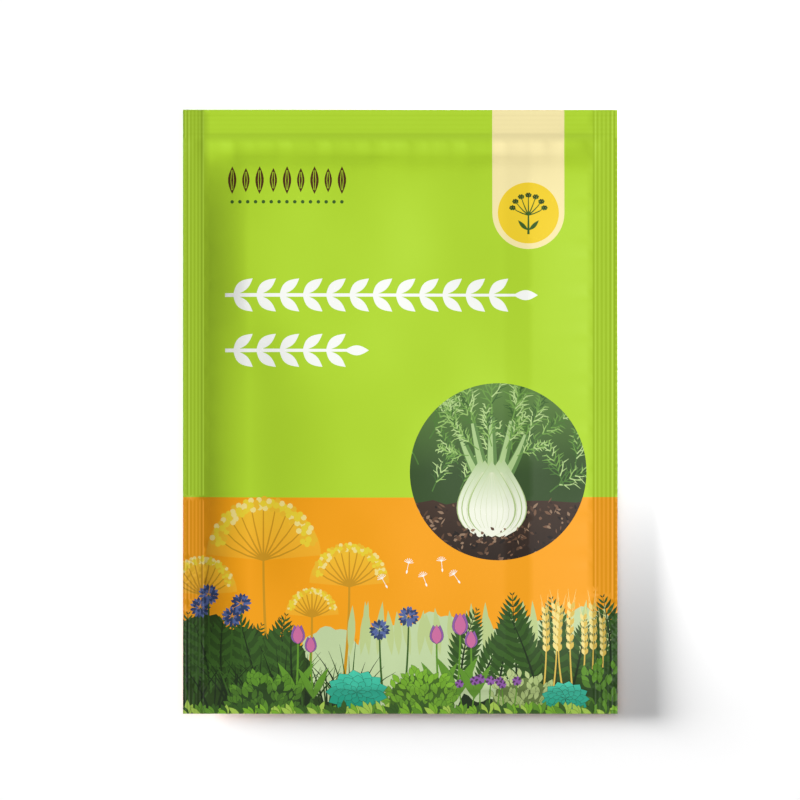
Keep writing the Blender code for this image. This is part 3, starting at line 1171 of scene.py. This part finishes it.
def film_material(name):
    """Printed laminated film: inks under a satin face with a very fine grain."""
    film = bpy.context.scene.packet_film
    shader = Shader(name)
    inks = shader.node("ShaderNodeAttribute", {"attribute_name": "ink"}, {}, "Color")
    grain = shader.noise(2600, 3)
    cloud = shader.noise(70, 2)
    tone = 0.97 + 0.04 * cloud + 0.02 * grain
    shader.set(
        Base_Color=shader.multiplied(inks, tone),
        Roughness=film.roughness - 0.05 + 0.1 * cloud,
        IOR=1.4,
        Normal=shader.bump(shader.noise(900, 2), 0.012 * MM, 0.6),
    )
    return shader.material


def seed_material(name):
    """Dry fennel seed: greenish brown with paler ribs."""
    shader = Shader(name)
    patch = shader.noise(420, 2)
    ribs = shader.noise(1500, 2, (1, 1, 0.4))
    colour = shader.node(
        "ShaderNodeMix",
        {"data_type": "RGBA"},
        {"Factor": patch, 6: (*srgb(122, 112, 62), 1), 7: (*srgb(176, 158, 96), 1)},
        2,
    )
    shader.set(Base_Color=shader.multiplied(colour, 0.8 + 0.4 * ribs), Roughness=0.55 + 0.2 * ribs)
    shader.set(Normal=shader.bump(ribs, 0.1 * MM, 0.8))
    return shader.material


def floor_material(name):
    """The studio's white floor."""
    shader = Shader(name)
    shader.set(Base_Color=(0.93, 0.93, 0.93, 1), Roughness=0.9, IOR=1.2)
    return shader.material


def link_object(name, mesh, material):
    """A new object of this mesh in the scene, in this material."""
    mesh.materials.append(material)
    obj = bpy.data.objects.new(name, mesh)
    bpy.context.scene.collection.objects.link(obj)
    return obj


class PACKET_OT_front(bpy.types.Operator):
    """Makes the front web, creased, ribbed along its seals and printed"""

    bl_idname = "packet.front"
    bl_label = "Front film"

    def execute(self, context):
        mesh = film_mesh("front_film", front_relief, front_art(), 1)
        piece = link_object("front_film", mesh, film_material("printed film, front"))
        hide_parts("front_web")
        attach(piece, "root")
        return {"FINISHED"}


class PACKET_OT_back(bpy.types.Operator):
    """Makes the back web, flat where it rests, with its plain panel"""

    bl_idname = "packet.back"
    bl_label = "Back film"

    def execute(self, context):
        mesh = film_mesh("back_film", back_relief, back_art(), -1)
        piece = link_object("back_film", mesh, film_material("printed film, back"))
        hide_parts("back_web")
        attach(piece, "root")
        return {"FINISHED"}


class PACKET_OT_seeds(bpy.types.Operator):
    """Gives the seeds inside their dry skin"""

    bl_idname = "packet.seeds"
    bl_label = "Seeds"

    def execute(self, context):
        material = seed_material("fennel seed")
        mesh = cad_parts["seeds"].data
        mesh.materials.clear()
        mesh.materials.append(material)
        return {"FINISHED"}


def aim(obj, place, target):
    """Puts an object at a place and turns it to look at a target."""
    obj.location = place
    obj.rotation_euler = (Vector(target) - Vector(place)).to_track_quat("-Z", "Y").to_euler()


def add_lamp(name, kind, place, target, lit, **settings):
    """A soft light that lights only the objects of one collection, as a flagged studio lamp does."""
    lamp = bpy.data.lights.new(name, kind)
    for key, value in settings.items():
        setattr(lamp, key, value)
    obj = bpy.data.objects.new(name, lamp)
    bpy.context.scene.collection.objects.link(obj)
    aim(obj, place, target)
    obj.light_linking.receiver_collection = lit
    return obj


class PACKET_OT_stage(bpy.types.Operator):
    """Sets the packet in a pale studio with a camera straight above it"""

    bl_idname = "packet.stage"
    bl_label = "Studio"

    def execute(self, context):
        settings = context.scene.packet_stage
        floor_mesh = bpy.data.meshes.new("floor")
        sheet = bmesh.new()
        bmesh.ops.create_grid(sheet, x_segments=1, y_segments=1, size=FLOOR_HALF)
        sheet.to_mesh(floor_mesh)
        sheet.free()
        floor = link_object("floor", floor_mesh, floor_material("studio floor"))
        floor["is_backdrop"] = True

        packet = bpy.data.collections.new("lit packet")
        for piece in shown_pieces():
            packet.objects.link(piece)
        ground = bpy.data.collections.new("lit floor")
        ground.objects.link(floor)
        for name, (way, width), lit, energy in (
            ("key", KEY_SUN, packet, settings.key),
            ("floor top", TOP_SUN, ground, settings.floor_top),
            ("floor key", LOW_SUN, ground, settings.floor_key),
        ):
            add_lamp(name, "SUN", way, (0, 0, 0), lit, energy=energy, angle=math.radians(width))
        add_lamp(
            "floor fill",
            "SPOT",
            SPOT_PLACE,
            SPOT_AIM,
            ground,
            energy=settings.floor_fill,
            spot_size=math.radians(SPOT_WIDTH),
            spot_blend=1,
            shadow_soft_size=SPOT_RADIUS,
        )

        world = bpy.data.worlds.new("studio")
        world.use_nodes = True
        backdrop = world.node_tree.nodes["Background"]
        backdrop.inputs["Color"].default_value = (1, 1, 1, 1)
        backdrop.inputs["Strength"].default_value = settings.ambient
        context.scene.world = world

        camera = bpy.data.cameras.new("camera")
        camera.lens = settings.lens
        camera.sensor_width = SENSOR
        eye = bpy.data.objects.new("camera", camera)
        context.scene.collection.objects.link(eye)
        distance = settings.field * settings.lens / SENSOR
        eye.location = (CAMERA_OVER[0] * MM, CAMERA_OVER[1] * MM, FRONT_SEAL_Z * MM + distance)
        context.scene.camera = eye
        context.scene.view_settings.view_transform = "Standard"
        return {"FINISHED"}


class PACKET_PT_panel(bpy.types.Panel):
    """Lists what makes the packet, in the order that it is made"""

    bl_idname = "PACKET_PT_panel"
    bl_label = "Seed packet"
    bl_space_type = "VIEW_3D"
    bl_region_type = "UI"
    bl_category = "Packet"

    def draw(self, context):
        for group in (getattr(context.scene, name) for name in GROUPS):
            for name in group.bl_rna.properties.keys():
                if name not in ("rna_type", "name"):
                    self.layout.prop(group, name)
        for operator in OPERATORS:
            self.layout.operator(operator.bl_idname)


GROUPS = {"packet_film": PACKET_PG_film, "packet_inks": PACKET_PG_inks, "packet_stage": PACKET_PG_stage}
OPERATORS = (PACKET_OT_front, PACKET_OT_back, PACKET_OT_seeds, PACKET_OT_stage)


def register():
    """Adds the packet's settings, operators and panel to Blender."""
    for name, group in GROUPS.items():
        bpy.utils.register_class(group)
        setattr(bpy.types.Scene, name, PointerProperty(type=group))
    for operator in OPERATORS:
        bpy.utils.register_class(operator)
    bpy.utils.register_class(PACKET_PT_panel)


def unregister():
    """Takes them away again."""
    bpy.utils.unregister_class(PACKET_PT_panel)
    for operator in reversed(OPERATORS):
        bpy.utils.unregister_class(operator)
    for name, group in reversed(GROUPS.items()):
        delattr(bpy.types.Scene, name)
        bpy.utils.unregister_class(group)


def main():
    """Makes every piece and the studio."""
    register()
    for operator in OPERATORS:
        group, name = operator.bl_idname.split(".")
        getattr(getattr(bpy.ops, group), name)()


if __name__ == "__main__":
    main()
